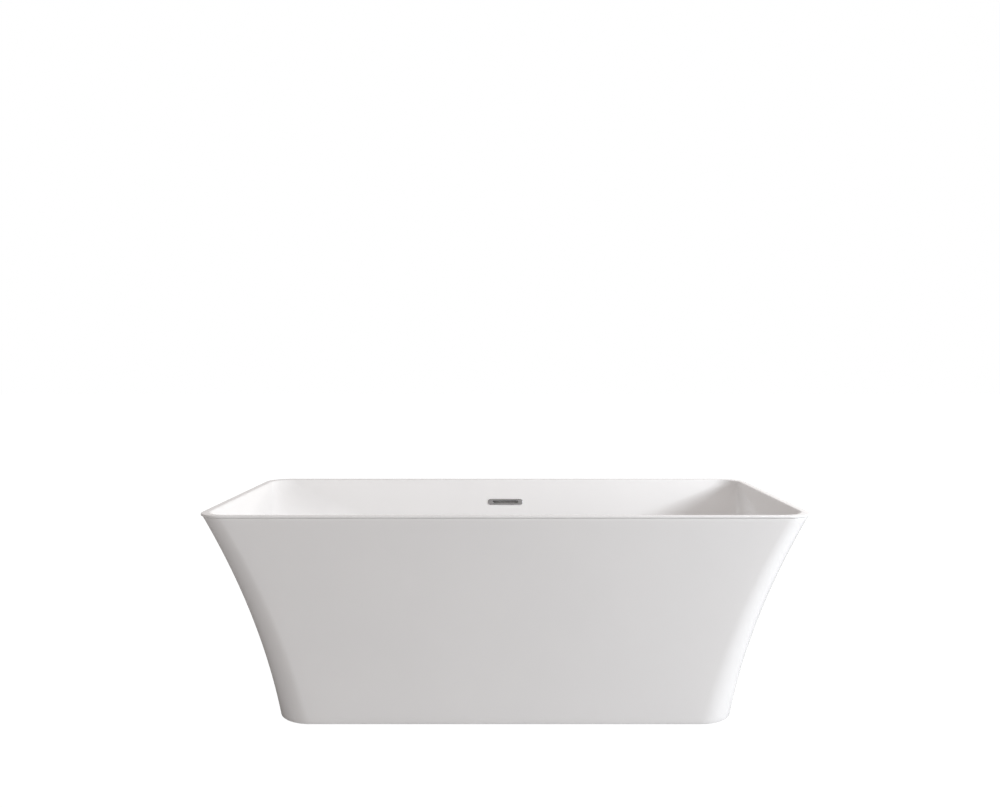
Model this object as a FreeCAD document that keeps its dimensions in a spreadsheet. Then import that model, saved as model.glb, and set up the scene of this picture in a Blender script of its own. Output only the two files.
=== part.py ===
"""Freestanding bath: two acrylic shells on a steel base frame with levelling feet, click waste and overflow.

Millimetres.  Origin on the floor under the middle of the bath, +X along its length, +Y towards the
long wall that holds the overflow, +Z up.
"""

import FreeCAD, Part
import math
import os
import Sketcher

Vector = FreeCAD.Vector
Rotation = FreeCAD.Rotation
Placement = FreeCAD.Placement

DIMENSIONS = {
    # how far a cutting shape runs past what it cuts
    "overcut": 1,
    # outer skirt and rim
    "rim_half_length": 850,
    "rim_half_width": 400,
    "rim_corner": 75,
    "rim_level": 590,
    "rim_thick": 6,
    "rim_edge": 2.5,
    "foot_half_length": 645,
    "foot_half_width": 349.5,
    "foot_corner": 104,
    "foot_level": 3,
    "flare_line": 0.51,
    "skirt_wall": 5,
    "foot_return": 32,
    # basin inside the rim
    "ledge_width": 20,
    "basin_corner": 70,
    "bowl_corner": 272,
    "bowl_corner_depth": 140,
    "basin_wall": 6,
    "basin_floor": 158,
    "floor_thick": 8,
    "floor_round": 58,
    "end_slope": 0.50,
    "end_curve": 0.00021,
    "side_slope": 0.29,
    "side_curve": 0.00014,
    # board and base frame
    "board_half_length": 480,
    "board_half_width": 205,
    "board_corner": 170,
    "board_thick": 16,
    "board_hole": 42,
    "tube_side": 30,
    "tube_wall": 2,
    "rail_half_length": 470,
    "rail_offset": 190,
    "outer_cross": 380,
    "inner_cross": 140,
    "frame_screw_offset": 110,
    # skirt brackets and blocks
    "bracket_place": 300,
    "bracket_width": 30,
    "bracket_thick": 3,
    "bracket_reach": 338,
    "block_width": 60,
    "block_depth": 40,
    "block_height": 36,
    "block_face": 349,
    # screws
    "screw_radius": 2.5,
    "screw_head": 5,
    "screw_head_thick": 3,
    "screw_play": 0.05,
    "screw_bite": 12,
    "rail_screw_reach": 11,
    "block_screw_reach": 21,
    # levelling feet
    "foot_place": 430,
    "stud_radius": 6,
    "stud_play": 0.1,
    "stud_top": 120,
    "stud_pin": 5,
    "stud_foot": 20,
    "stud_pin_foot": 7.5,
    "stud_hex_across": 17,
    "stud_hex_level": 24,
    "stud_hex_thick": 8,
    "stud_hole_play": 1,
    "nut_across": 19,
    "weld_nut_thick": 12,
    "lock_nut_thick": 7,
    "pad_radius": 25,
    "pad_edge": 4,
    "pad_chamfer": 1,
    "pad_waist": 14,
    "pad_waist_level": 9,
    "pad_neck": 10,
    "pad_neck_level": 15,
    "pad_floor": 7,
    # waste
    "waste_hole": 26,
    "neck_radius": 23.9,
    "neck_bore": 20,
    "neck_foot": 58,
    "tail_radius": 20,
    "tail_bore": 17.5,
    "tail_foot": 20,
    "flange_radius": 35,
    "flange_thick": 3,
    "flange_edge": 1.2,
    "gasket_thick": 1,
    "throat_radius": 25,
    "throat_depth": 7,
    "lower_gasket_radius": 37,
    "lower_gasket_thick": 4,
    "hub_radius": 13,
    "hub_level": 136,
    "hub_thick": 12,
    "spoke_width": 5,
    "spoke_thick": 8,
    "tee_radius": 34,
    "tee_wall": 3,
    "tee_play": 0.15,
    "chamber_drop": 20,
    "chamber_slope": 4,
    "drain_port_width": 12,
    "drain_port_height": 24,
    "drain_port_foot": 82,
    "tee_foot": 74,
    "tee_axis": 90,
    "port_radius": 10.5,
    "port_bore": 8.5,
    "port_start": 31.5,
    "port_reach": 62,
    "tee_washer_thick": 2,
    "locknut_across": 60,
    "locknut_thick": 10,
    # click plug
    "cartridge_radius": 8,
    "cartridge_play": 0.05,
    "cartridge_foot": 112,
    "cartridge_base": 3,
    "cartridge_cap_radius": 10.5,
    "cartridge_cap_thick": 3,
    "stem_radius": 5,
    "stem_play": 0.1,
    "stem_foot": 130,
    "stem_neck": 4,
    "stem_shoulder": 158,
    "stem_top": 168,
    "cap_radius": 30,
    "cap_level": 170,
    "cap_edge": 2,
    "cap_dome": 3,
    "cap_boss": 12,
    "cap_boss_level": 163,
    "seal_radius": 21.3,
    "seal_level": 165,
    "seal_thick": 3,
    "spring_radius": 4,
    "spring_wire": 0.5,
    "spring_pitch": 2.6,
    # overflow
    "overflow_drop": 78,
    "trim_half_length": 62,
    "trim_half_height": 10,
    "trim_corner": 8,
    "trim_thick": 3,
    "slot_half_length": 45,
    "slot_half_height": 4,
    "collar_half_length": 54,
    "collar_half_height": 7,
    "collar_corner": 6,
    "collar_depth": 9,
    "wall_slot_play": 1,
    "overflow_gasket_thick": 1.5,
    "box_half_length": 60,
    "box_half_height": 15,
    "box_depth": 14,
    "box_corner": 3,
    "box_wall": 2,
    "spigot_start": 95,
    "spigot_end": 130,
    "spigot_radius": 10.3,
    "spigot_offset": 23,
    # overflow hose
    "hose_radius": 12.5,
    "hose_bore": 10.6,
    "hose_start": 108,
    "hose_lead": 36,
    "hose_corner_place": 314.5,
    "hose_small_bend": 90,
    "hose_large_bend": 60,
    "hose_overlap": 22,
    "clip_thick": 0.9,
    "clip_width": 9,
    "clip_inset": 6,
    "clip_play": 0.05,
}

doc = FreeCAD.newDocument("Bath")
sheet = doc.addObject("Spreadsheet::Sheet", "Sizes")
for row, (alias, amount) in enumerate(DIMENSIONS.items(), start=1):
    sheet.set(f"A{row}", alias.replace("_", " "))
    sheet.set(f"B{row}", str(amount))
    sheet.setAlias(f"B{row}", alias)
doc.recompute()

nodes = []


def size(alias):
    """The value of one cell, for the few shapes that are not bound by an expression."""
    return float(getattr(sheet, alias))


def cells(formula):
    """A formula in cell names, with each name turned into a reference to the sheet."""
    words = []
    word = ""
    for letter in formula + " ":
        if letter.isalnum() or letter in "_.":
            word += letter
            continue
        words.append("Sizes." + word if word in DIMENSIONS else word)
        words.append(letter)
        word = ""
    return "".join(words).strip()


def bind(thing, formulas):
    for name, formula in formulas.items():
        thing.setExpression(name, cells(formula))
    return thing


def place(thing, x="0", y="0", z="0"):
    return bind(thing, {"Placement.Base.x": x, "Placement.Base.y": y, "Placement.Base.z": z})


def node(thing, label):
    """Keeps a finished piece under the name of its file."""
    thing.Label = label
    nodes.append(thing)
    return thing


# ---------------------------------------------------------------- sketches and bodies


def new_body(name):
    return doc.addObject("PartDesign::Body", name)


def plane_sketch(body, name, role, level="0"):
    """A sketch on one of the body's own planes, moved along that plane's normal."""
    plane = next(p for p in body.Origin.OriginFeatures if p.Role == role)
    sketch = body.newObject("Sketcher::SketchObject", name)
    sketch.AttachmentSupport = [(plane, "")]
    sketch.MapMode = "FlatFace"
    bind(sketch, {"AttachmentOffset.Base.z": level})
    return sketch


def named(sketch, name, constraint, formula):
    index = sketch.addConstraint(constraint)
    sketch.renameConstraint(index, name)
    bind(sketch, {"Constraints." + name: formula})


def rounded_rectangle(sketch, half_length, half_width, corner, shift="0"):
    """A rectangle about the sketch's origin with four equal rounded corners."""
    first = sketch.GeometryCount
    start_length, start_width, start_corner = 60.0, 40.0, 5.0
    for turn, (right, up) in enumerate(((1, 1), (-1, 1), (-1, -1), (1, -1))):
        middle = Vector(right * (start_length - start_corner), up * (start_width - start_corner), 0)
        whole = Part.Circle(middle, Vector(0, 0, 1), start_corner)
        sketch.addGeometry(Part.ArcOfCircle(whole, turn * math.pi / 2, (turn + 1) * math.pi / 2), False)
    arcs = [first + turn for turn in range(4)]
    sides = [first + 4 + turn for turn in range(4)]
    for turn in range(4):
        begin = sketch.getPoint(arcs[turn], 2)
        end = sketch.getPoint(arcs[(turn + 1) % 4], 1)
        sketch.addGeometry(Part.LineSegment(begin, end), False)
    for turn in range(4):
        sketch.addConstraint(Sketcher.Constraint("Tangent", arcs[turn], 2, sides[turn], 1))
        sketch.addConstraint(Sketcher.Constraint("Tangent", sides[turn], 2, arcs[(turn + 1) % 4], 1))
        sketch.addConstraint(Sketcher.Constraint(("Horizontal", "Vertical")[turn % 2], sides[turn]))
    for turn in range(3):
        sketch.addConstraint(Sketcher.Constraint("Equal", arcs[turn], arcs[turn + 1]))
    tag = f"_{first}"
    named(sketch, "corner" + tag, Sketcher.Constraint("Radius", arcs[0], start_corner), corner)
    width = Sketcher.Constraint("DistanceX", sides[1], 1, sides[3], 1, 2 * start_length)
    named(sketch, "width" + tag, width, f"2 * ({half_length})")
    height = Sketcher.Constraint("DistanceY", sides[2], 1, sides[0], 1, 2 * start_width)
    named(sketch, "height" + tag, height, f"2 * ({half_width})")
    right = Sketcher.Constraint("DistanceX", -1, 1, sides[3], 1, start_length)
    named(sketch, "right" + tag, right, half_length)
    top = Sketcher.Constraint("DistanceY", -1, 1, sides[0], 1, start_width)
    named(sketch, "top" + tag, top, f"({half_width}) + ({shift})")
    return sketch


def circle(sketch, radius):
    """A circle about the sketch's origin."""
    index = sketch.addGeometry(Part.Circle(Vector(0, 0, 0), Vector(0, 0, 1), 10), False)
    sketch.addConstraint(Sketcher.Constraint("Coincident", index, 3, -1, 1))
    named(sketch, f"radius_{index}", Sketcher.Constraint("Radius", index, 10), radius)
    return sketch


def revolved(label, outline, x="0", y="0", z="0"):
    """A turned piece: (radius, height) corners revolved about its own upright axis."""
    body = place(new_body(label + "_turned"), x, y, z)
    sketch = plane_sketch(body, label + "_outline", "XZ_Plane")
    count = len(outline)
    angles = [2 * math.pi * k / count for k in range(count)]
    rough = [Vector(20 + 10 * math.cos(angle), 20 + 10 * math.sin(angle), 0) for angle in angles]
    for k in range(count):
        sketch.addGeometry(Part.LineSegment(rough[k], rough[(k + 1) % count]), False)
    for k in range(count):
        sketch.addConstraint(Sketcher.Constraint("Coincident", k, 2, (k + 1) % count, 1))
    for k, (radius, height) in enumerate(outline):
        if radius == "0":
            sketch.addConstraint(Sketcher.Constraint("PointOnObject", k, 1, -2))
        else:
            across = Sketcher.Constraint("DistanceX", -1, 1, k, 1, rough[k].x)
            named(sketch, f"radius_{k}", across, radius)
        if height == "0":
            sketch.addConstraint(Sketcher.Constraint("PointOnObject", k, 1, -1))
        else:
            upward = Sketcher.Constraint("DistanceY", -1, 1, k, 1, rough[k].y)
            named(sketch, f"height_{k}", upward, height)
    turned = body.newObject("PartDesign::Revolution", label + "_revolution")
    turned.Profile = sketch
    turned.ReferenceAxis = (sketch, ["V_Axis"])
    turned.Angle = 360
    return body


def ring(label, inner, outer, height, x="0", y="0", z="0"):
    return revolved(label, [(inner, "0"), (outer, "0"), (outer, height), (inner, height)], x, y, z)


def loft(body, kind, name, sections, ruled=False):
    feature = body.newObject(f"PartDesign::{kind}Loft", name)
    feature.Profile = sections[0]
    feature.Sections = sections[1:]
    feature.Ruled = ruled
    return feature


def pad(body, name, sketch, length, reverse=False):
    feature = body.newObject("PartDesign::Pad", name)
    feature.Profile = sketch
    feature.Reversed = reverse
    return bind(feature, {"Length": length})


def pocket(body, name, sketch, length, reverse=False):
    feature = body.newObject("PartDesign::Pocket", name)
    feature.Profile = sketch
    feature.Reversed = reverse
    return bind(feature, {"Length": length})


# ---------------------------------------------------------------- primitives and booleans


def cylinder(name, radius, height, x="0", y="0", z="0"):
    return place(bind(doc.addObject("Part::Cylinder", name), {"Radius": radius, "Height": height}), x, y, z)


def box(name, length, width, height, x, y, z):
    """A box given by its sizes and its middle in x and y, standing on z."""
    solid = bind(doc.addObject("Part::Box", name), {"Length": length, "Width": width, "Height": height})
    return place(solid, f"({x}) - ({length}) / 2", f"({y}) - ({width}) / 2", z)


def hexagon(name, across, height, x="0", y="0", z="0"):
    prism = doc.addObject("Part::Prism", name)
    prism.Polygon = 6
    return place(bind(prism, {"Circumradius": f"({across}) / sqrt(3)", "Height": height}), x, y, z)


def fused(name, *solids):
    union = doc.addObject("Part::MultiFuse", name)
    union.Shapes = list(solids)
    return union


def cut(name, base, *tools):
    feature = doc.addObject("Part::Cut", name)
    feature.Base = base
    feature.Tool = tools[0] if len(tools) == 1 else fused(name + "_tools", *tools)
    return feature


def group(name, *solids):
    compound = doc.addObject("Part::Compound", name)
    compound.Links = list(solids)
    return compound


def mirrored(name, source, normal):
    image = doc.addObject("Part::Mirroring", name)
    image.Source = source
    image.Normal = normal
    return image


def in_quadrants(name, source):
    """The source and its images across the bath's two upright middle planes."""
    half = group(name + "_half", source, mirrored(name + "_other_end", source, Vector(1, 0, 0)))
    return group(name, half, mirrored(name + "_other_side", half, Vector(0, 1, 0)))


# ---------------------------------------------------------------- shells


def flared(low, high, height):
    """A half size of the skirt at a height: straight and square parts of the flare added."""
    part = f"(({height}) / rim_level)"
    return f"{low} + ({high} - {low}) * (flare_line * {part} + (1 - flare_line) * {part} ^ 2)"


def skirt_section(body, name, height, inset):
    sketch = plane_sketch(body, name, "XY_Plane", height)
    corner = f"foot_corner + (rim_corner - foot_corner) * ({height}) / rim_level - ({inset})"
    half_length = f"{flared('foot_half_length', 'rim_half_length', height)} - ({inset})"
    half_width = f"{flared('foot_half_width', 'rim_half_width', height)} - ({inset})"
    return rounded_rectangle(sketch, half_length, half_width, corner)


def outer_skirt():
    body = new_body("skirt_body")
    top = "(rim_level - rim_thick)"
    steps = [f"foot_level + ({top} - foot_level) * {k} / 4" for k in range(5)]
    outside = [skirt_section(body, f"skirt_outside_{k}", step, "0") for k, step in enumerate(steps)]
    loft(body, "Additive", "skirt_solid", outside)
    floor = "(foot_level + skirt_wall)"
    steps = [f"{floor} + ({top} - {floor}) * {k} / 4" for k in range(5)]
    inside = [skirt_section(body, f"skirt_inside_{k}", step, "skirt_wall") for k, step in enumerate(steps)]
    loft(body, "Subtractive", "skirt_hollow", inside)
    opening = skirt_section(body, "skirt_opening", "foot_level", "foot_return")
    pocket(body, "skirt_foot_opening", opening, "skirt_wall + 2 * overcut", reverse=True)
    return node(body, "outer_skirt")


def basin_section(body, name, depth, outward):
    """The basin's outline at a depth below the rim, moved outwards by the wall where asked."""
    step = f"min(1; ({depth}) / bowl_corner_depth)"
    corner = f"basin_corner + (bowl_corner - basin_corner) * ({step} ^ 2 * (3 - 2 * {step})) + ({outward})"
    half_length = (
        f"rim_half_length - ledge_width - end_slope * ({depth}) - end_curve * ({depth}) ^ 2 + ({outward})"
    )
    half_width = (
        f"rim_half_width - ledge_width - side_slope * ({depth}) + side_curve * ({depth}) ^ 2 + ({outward})"
    )
    sketch = plane_sketch(body, name, "XY_Plane", f"rim_level - ({depth})")
    return rounded_rectangle(sketch, half_length, half_width, corner)


def lowest_edges(shape, level):
    """Names of the edges that lie at a level."""
    names = []
    for number, edge in enumerate(shape.Edges, start=1):
        reach = edge.BoundBox
        if abs(reach.ZMin - level) < 0.01 and abs(reach.ZMax - level) < 0.01:
            names.append(f"Edge{number}")
    return names


def round_edges(body, name, level, radius):
    doc.recompute()
    base = body.Tip
    feature = body.newObject("PartDesign::Fillet", name)
    feature.Base = (base, lowest_edges(base.Shape, level))
    return bind(feature, {"Radius": radius})


def slot_cutter(name, half_length, half_height, corner, depth, lift):
    """A straight rounded slot along the overflow's axis, set in the basin's far wall."""
    body = new_body(name)
    sketch = plane_sketch(body, name + "_outline", "XY_Plane", lift)
    rounded_rectangle(sketch, half_length, half_height, corner)
    pad(body, name + "_pad", sketch, depth)
    body.Placement = overflow_place()
    return body


def basin_inset(depth):
    return size("side_slope") * depth - size("side_curve") * depth ** 2


def wall_lean():
    """How far the basin's long wall leans from upright at the overflow, in degrees."""
    slope = size("side_slope") - 2 * size("side_curve") * size("overflow_drop")
    return math.degrees(math.atan(slope))


def overflow_place():
    """The middle of the overflow on the basin's inner face: local Z into the basin, local Y up the wall."""
    drop = size("overflow_drop")
    across = size("rim_half_width") - size("ledge_width") - basin_inset(drop)
    turn = Rotation(Vector(1, 0, 0), 90 - wall_lean())
    return Placement(Vector(0, across, size("rim_level") - drop), turn)


def basin_form(name, deepest, outward, rounding):
    """A solid of the basin's form from the rim down to a depth, with its lower edge rounded."""
    body = new_body(name + "_body")
    shares = (0, 0.07, 0.14, 0.21, 0.28, 0.36, 0.56, 0.78, 1)
    sections = [
        basin_section(body, f"{name}_section_{k}", f"{deepest} * {share}", outward)
        for k, share in enumerate(shares)
    ]
    loft(body, "Additive", name + "_loft", sections)
    doc.recompute()
    round_edges(body, name + "_round", body.Shape.BoundBox.ZMin, rounding)
    return body


def basin_shell():
    depth = "(rim_level - basin_floor)"
    body = basin_form("basin_outside", f"({depth} + floor_thick)", "basin_wall", "floor_round + basin_wall")
    rim = plane_sketch(body, "rim_outline", "XY_Plane", "rim_level - rim_thick")
    rounded_rectangle(rim, "rim_half_length", "rim_half_width", "rim_corner")
    pad(body, "rim_plate", rim, "rim_thick")
    round_edges(body, "rim_round", size("rim_level"), "rim_edge")
    hollow = basin_form("basin_inside", depth, "0", "floor_round")
    hole = cylinder("waste_hole", "waste_hole", "4 * floor_thick", z="basin_floor - 2 * floor_thick")
    play = "wall_slot_play"
    slot = slot_cutter("wall_slot", f"collar_half_length + {play}", f"collar_half_height + {play}",
                       f"collar_corner + {play}", "3 * basin_wall", "-2 * basin_wall")
    return node(cut("basin_cut", body, hollow, hole, slot), "basin_shell")


# ---------------------------------------------------------------- board, frame and skirt supports


FRAME_TOP = "(basin_floor - floor_thick - board_thick)"
FRAME_LEVEL = f"({FRAME_TOP} - tube_side)"


def floor_board():
    body = new_body("board_body")
    sketch = plane_sketch(body, "board_outline", "XY_Plane", FRAME_TOP)
    rounded_rectangle(sketch, "board_half_length", "board_half_width", "board_corner")
    circle(sketch, "board_hole")
    pad(body, "board_pad", sketch, "board_thick")
    radius, depth = "screw_radius + screw_play", "screw_bite + overcut"
    holes = group("board_holes", *[
        cylinder(f"board_hole_at_{x}", radius, depth, x, "frame_screw_offset", FRAME_TOP)
        for x in ("outer_cross", "inner_cross")
    ])
    return node(cut("board_cut", body, in_quadrants("board_hole_set", holes)), "floor_board")


def square_tube(name, along, x, y, length):
    """A square steel tube lying along x or y with its underside at the frame's level."""
    side, bore = "tube_side", "(tube_side - 2 * tube_wall)"
    lift = f"{FRAME_LEVEL} + tube_wall"
    if along == "x":
        solid = box(name + "_solid", length, side, side, x, y, FRAME_LEVEL)
        hollow = box(name + "_bore", f"{length} + 2 * overcut", bore, bore, x, y, lift)
    else:
        solid = box(name + "_solid", side, length, side, x, y, FRAME_LEVEL)
        hollow = box(name + "_bore", bore, f"{length} + 2 * overcut", bore, x, y, lift)
    return solid, hollow


def side_rail(label, side):
    offset = f"{side} * rail_offset"
    solid, hollow = square_tube(label, "x", "0", offset, "2 * rail_half_length")
    depth, start = "tube_wall + 2 * overcut", f"{FRAME_LEVEL} - overcut"
    kinds = (
        ("stud_hole", "stud_radius + stud_hole_play", "foot_place"),
        ("screw_hole", "screw_radius + screw_play", "bracket_place"),
    )
    holes = [
        cylinder(f"{label}_{kind}_{end + 1}", radius, depth, f"{end} * {x}", offset, start)
        for kind, radius, x in kinds
        for end in (-1, 1)
    ]
    return node(cut(label + "_cut", solid, hollow, *holes), label)


def cross_tube(label, x):
    solid, hollow = square_tube(label, "y", x, "0", "2 * rail_offset - tube_side")
    radius = "screw_radius + screw_play"
    holes = [
        cylinder(f"{label}_hole_{side + 1}", radius, "tube_side + 2 * overcut", x,
                 f"{side} * frame_screw_offset", f"{FRAME_LEVEL} - overcut")
        for side in (-1, 1)
    ]
    return node(cut(label + "_cut", solid, hollow, *holes), label)


def screw(name, x, y, seat, reach):
    """A pan head screw driven upwards: head under the seat, shank above it."""
    head = cylinder(name + "_head", "screw_head", "screw_head_thick", x, y, f"{seat} - screw_head_thick")
    shank = cylinder(name + "_shank", "screw_radius", reach, x, y, seat)
    return fused(name, head, shank)


def frame_screws():
    reach = "tube_side + screw_bite"
    outer = screw("outer_cross_screw", "outer_cross", "frame_screw_offset", FRAME_LEVEL, reach)
    inner = screw("inner_cross_screw", "inner_cross", "frame_screw_offset", FRAME_LEVEL, reach)
    return node(in_quadrants("frame_screw_set", group("quarter_frame_screws", outer, inner)), "frame_screws")


BLOCK_MIDDLE = "(block_face - block_depth / 2)"
STRIP_START = "(rail_offset - tube_side / 2)"
STRIP_LEVEL = f"({FRAME_LEVEL} - bracket_thick)"


def bracket_holes(name, height):
    radius = "screw_radius + screw_play"
    return [
        cylinder(f"{name}_hole_{k}", radius, height, "bracket_place", y, f"{STRIP_LEVEL} - overcut")
        for k, y in enumerate(("rail_offset", BLOCK_MIDDLE))
    ]


def quarter(label, source, end, side):
    """One of four alike pieces, imaged from the quarter where x and y are positive."""
    piece = source
    if end < 0:
        piece = mirrored(label + "_end", piece, Vector(1, 0, 0))
    if side < 0:
        piece = mirrored(label + "_side", piece, Vector(0, 1, 0))
    return node(group(label + "_piece", piece), label)


QUARTERS = ((-1, -1), (1, -1), (1, 1), (-1, 1))


def skirt_brackets():
    length = f"bracket_reach - {STRIP_START}"
    strip = box("strip_solid", "bracket_width", length, "bracket_thick", "bracket_place",
                f"{STRIP_START} + ({length}) / 2", STRIP_LEVEL)
    strip = cut("strip", strip, *bracket_holes("strip", "bracket_thick + 2 * overcut"))
    block = box("block_solid", "block_width", "block_depth", "block_height", "bracket_place", BLOCK_MIDDLE,
                FRAME_LEVEL)
    pilot = cylinder("block_pilot", "screw_radius + screw_play", "block_screw_reach + overcut",
                     "bracket_place", BLOCK_MIDDLE, f"{FRAME_LEVEL} - overcut")
    block = cut("block", block, pilot)
    for number, (end, side) in enumerate(QUARTERS, start=1):
        quarter(f"skirt_bracket_{number}", strip, end, side)
        quarter(f"skirt_block_{number}", block, end, side)


def bracket_screws():
    rail_screw = screw("rail_screw", "bracket_place", "rail_offset", STRIP_LEVEL, "rail_screw_reach")
    block_screw = screw("block_screw", "bracket_place", BLOCK_MIDDLE, STRIP_LEVEL, "block_screw_reach")
    return node(in_quadrants("bracket_screw_set", group("quarter_screws", rail_screw, block_screw)),
                "bracket_screws")


# ---------------------------------------------------------------- levelling feet


def threaded_hexagon(name, thick, level):
    body = hexagon(name + "_hexagon", "nut_across", thick, "foot_place", "rail_offset", level)
    bore = cylinder(name + "_bore", "stud_radius + stud_play", f"{thick} + 2 * overcut", "foot_place",
                    "rail_offset", f"{level} - overcut")
    return cut(name, body, bore)


def foot_nuts():
    weld_level = f"({FRAME_LEVEL} - weld_nut_thick)"
    weld = threaded_hexagon("weld_nut", "weld_nut_thick", weld_level)
    lock = threaded_hexagon("lock_nut", "lock_nut_thick", f"({weld_level} - lock_nut_thick)")
    node(in_quadrants("weld_nut_set", weld), "weld_nuts")
    node(in_quadrants("lock_nut_set", lock), "foot_locknuts")


def foot_stud(number, x, y):
    label = f"foot_stud_{number}"
    shank = cylinder(label + "_shank", "stud_radius", "stud_top - stud_foot", x, y, "stud_foot")
    pin = cylinder(label + "_pin", "stud_pin", "stud_foot - stud_pin_foot", x, y, "stud_pin_foot")
    drive = hexagon(label + "_drive", "stud_hex_across", "stud_hex_thick", x, y, "stud_hex_level")
    return node(fused(label + "_solid", shank, pin, drive), label)


def foot_pad(number, x, y):
    bore = "stud_pin + stud_play"
    outline = [
        ("0", "0"), ("pad_radius - pad_chamfer", "0"), ("pad_radius", "pad_chamfer"),
        ("pad_radius", "pad_edge"),
        ("pad_waist", "pad_waist_level"), ("pad_neck", "pad_neck_level"), ("pad_neck", "stud_foot"),
        (bore, "stud_foot"), (bore, "pad_floor"), ("0", "pad_floor"),
    ]
    return node(revolved(f"foot_pad_{number}", outline, x, y), f"foot_pad_{number}")


# ---------------------------------------------------------------- waste and click plug


FLANGE_LEVEL = "(basin_floor + gasket_thick)"
FLANGE_TOP = f"({FLANGE_LEVEL} + flange_thick)"
SHELL_UNDERSIDE = "(basin_floor - floor_thick)"
TEE_TOP = f"({SHELL_UNDERSIDE} - lower_gasket_thick)"


def waste_flange():
    throat = f"({FLANGE_TOP} - throat_depth)"
    step = "neck_foot + neck_radius - neck_bore"
    outline = [
        ("tail_bore", "tail_foot"), ("tail_radius", "tail_foot"), ("tail_radius", "neck_foot"),
        ("neck_radius", "neck_foot"), ("neck_radius", FLANGE_LEVEL),
        ("flange_radius", FLANGE_LEVEL), ("flange_radius", f"{FLANGE_TOP} - flange_edge"),
        ("flange_radius - 2 * flange_edge", FLANGE_TOP), ("throat_radius", FLANGE_TOP), ("neck_bore", throat),
        ("neck_bore", step), ("tail_bore", step),
    ]
    tube = revolved("flange_tube", outline)
    length = "2 * neck_bore + 2 * overcut"
    low = "hub_level + (hub_thick - spoke_thick) / 2"
    spoke = box("spoke_along", length, "spoke_width", "spoke_thick", "0", "0", low)
    other = box("spoke_across", "spoke_width", length, "spoke_thick", "0", "0", low)
    hub = cylinder("hub", "hub_radius", "hub_thick", z="hub_level")
    bore = cylinder("hub_bore", "cartridge_radius + cartridge_play", "hub_thick + 2 * overcut",
                    z="hub_level - overcut")
    through = "2 * neck_radius + 2 * overcut"
    width, height, foot = "drain_port_width", "drain_port_height", "drain_port_foot"
    slots = [
        box("port_along", through, width, height, "0", "0", foot),
        box("port_across", width, through, height, "0", "0", foot),
    ]
    solid = fused("flange_solid", tube, spoke, other, hub)
    return node(cut("flange_cut", solid, bore, *slots), "waste_flange")


def waste_rings():
    play = "neck_radius + tee_play"
    node(ring("flange_gasket", play, "flange_radius - 1", "gasket_thick", z="basin_floor"), "flange_gasket")
    node(ring("lower_gasket", play, "lower_gasket_radius", "lower_gasket_thick", z=TEE_TOP), "lower_gasket")
    node(ring("tee_washer", play, "tee_radius - 2", "tee_washer_thick", z="tee_foot - tee_washer_thick"),
         "tee_washer")
    level = "tee_foot - tee_washer_thick - locknut_thick"
    nut = hexagon("locknut_hexagon", "locknut_across", "locknut_thick", z=level)
    bore = cylinder("locknut_bore", play, "locknut_thick + 2 * overcut", z=f"{level} - overcut")
    node(cut("locknut_cut", nut, bore), "waste_locknut")


def waste_tee():
    """The ring around the waste's neck that takes the overflow water in by its side port."""
    inner = "neck_radius + tee_play"
    chamber = "tee_radius - tee_wall"
    outline = [
        (inner, "tee_foot"), ("tee_radius", "tee_foot"), ("tee_radius", TEE_TOP), (inner, TEE_TOP),
        (inner, f"{TEE_TOP} - chamber_drop"), (chamber, f"{TEE_TOP} - chamber_drop - chamber_slope"),
        (chamber, "tee_foot + tee_wall"),
        (inner, "tee_foot + tee_wall"),
    ]
    body = revolved("tee_body", outline)
    port = cylinder("tee_port", "port_radius", "port_reach - port_start", y="port_start", z="tee_axis")
    bore = cylinder("tee_port_bore", "port_bore", "port_reach - neck_radius",
                    y="neck_radius + overcut", z="tee_axis")
    for tube in (port, bore):
        tube.Placement.Rotation = Rotation(Vector(1, 0, 0), -90)
    return node(cut("tee_cut", fused("tee_solid", body, port), bore), "waste_tee")


def click_plug():
    bore = "stem_radius + stem_play"
    top = "hub_level + hub_thick"
    cartridge = [
        ("0", "cartridge_foot"), ("cartridge_radius", "cartridge_foot"), ("cartridge_radius", top),
        ("cartridge_cap_radius", top), ("cartridge_cap_radius", f"{top} + cartridge_cap_thick"),
        (bore, f"{top} + cartridge_cap_thick"), (bore, "cartridge_foot + cartridge_base"),
        ("0", "cartridge_foot + cartridge_base"),
    ]
    node(revolved("cartridge", cartridge), "cartridge")
    stem = [
        ("0", "stem_foot"), ("stem_radius", "stem_foot"), ("stem_radius", "stem_shoulder"),
        ("stem_neck", "stem_shoulder"), ("stem_neck", "stem_top"), ("0", "stem_top"),
    ]
    node(revolved("plug_stem", stem), "plug_stem")
    socket = "stem_neck + cartridge_play"
    cap = [
        (socket, "cap_boss_level"), ("cap_boss", "cap_boss_level"), ("cap_boss", "cap_level"),
        ("cap_radius - 1", "cap_level"), ("cap_radius", "cap_level + 1"),
        ("cap_radius", "cap_level + cap_edge"),
        ("cap_radius - 3", "cap_level + cap_edge + cap_dome / 2"),
        ("cap_radius / 2", "cap_level + cap_edge + cap_dome * 0.9"), ("0", "cap_level + cap_edge + cap_dome"),
        ("0", "stem_top"), (socket, "stem_top"),
    ]
    node(revolved("plug_cap", cap), "plug_cap")
    seal = ring("plug_seal", "cap_boss + cartridge_play", "seal_radius", "seal_thick", z="seal_level")
    node(seal, "plug_seal")


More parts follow.
